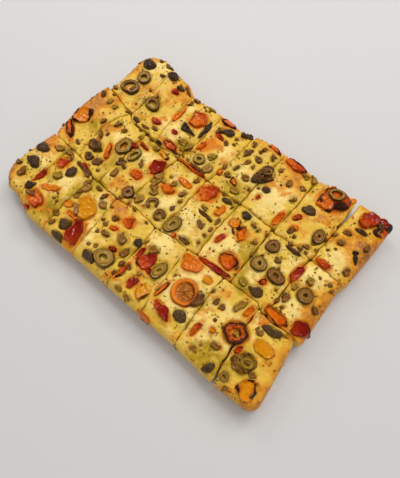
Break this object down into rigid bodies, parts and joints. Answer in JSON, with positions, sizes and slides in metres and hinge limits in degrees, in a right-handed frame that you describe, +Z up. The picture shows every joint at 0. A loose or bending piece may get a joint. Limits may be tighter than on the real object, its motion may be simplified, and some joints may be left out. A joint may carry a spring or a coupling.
{
  "type": "focaccia",
  "caption": "Rectangular sheet of soft focaccia, cut into slices that still lie together, its golden oiled top pressed with olive rings, black olives, tomatoes and peppers.",
  "frame": {"origin": "on the underside, below the middle of the whole sheet", "axes": "+X along the sheet's longer side, +Y across it, +Z up out of the topped side"},
  "size_m": [0.3318, 0.2302, 0.0297],
  "materials": {
    "bread": "soft baked crumb, pale gold with browned patches and an oiled sheen",
    "green_olive": "cooked olive flesh, moist",
    "black_olive": "wrinkled dark olive skin, moist",
    "tomato": "roasted tomato flesh, glossy with oil",
    "pepper": "roasted yellow pepper, glossy with oil",
    "burnt": "charred edge, dull"
  },
  "bodies": {
    "root": {"black_olive_a1": "black_olive", "black_olive_a2": "black_olive", "burnt_a4": "burnt", "heap_a5": "green_olive", "heap_c8": "green_olive", "olive_a3": "green_olive", "olive_b2": "green_olive", "pepper_b1": "pepper", "pepper_c3": "pepper", "pepper_c6": "pepper", "pepper_c8": "pepper", "ring_a1": "green_olive", "ring_a1_2": "green_olive", "ring_a2": "green_olive", "ring_a7": "green_olive", "ring_b2": "green_olive", "ring_b3": "green_olive", "ring_b7": "green_olive", "ring_b7_2": "green_olive", "ring_b8": "green_olive", "ring_c4": "green_olive", "slice_a1": "bread", "slice_a2": "bread", "slice_a3": "bread", "slice_a4": "bread", "slice_a5": "bread", "slice_a6": "bread", "slice_a7": "bread", "slice_a8": "bread", "slice_b1": "bread", "slice_b2": "bread", "slice_b3": "bread", "slice_b4": "bread", "slice_b5": "bread", "slice_b6": "bread", "slice_b7": "bread", "slice_b8": "bread", "slice_c1": "bread", "slice_c2": "bread", "slice_c3": "bread", "slice_c4": "bread", "slice_c5": "bread", "slice_c6": "bread", "slice_c7": "bread", "slice_c8": "bread", "tomato_a3": "tomato", "tomato_a3_2": "tomato", "tomato_a6": "tomato", "tomato_a7": "tomato", "tomato_a8": "tomato", "tomato_b1": "tomato", "tomato_b3": "tomato", "tomato_b4": "tomato", "tomato_b5": "tomato", "tomato_b6": "tomato", "tomato_b8": "tomato", "tomato_c2": "tomato", "tomato_c3": "tomato", "tomato_ring_c7": "tomato", "tomato_slice_c6": "tomato"}
  },
  "joints": []
}
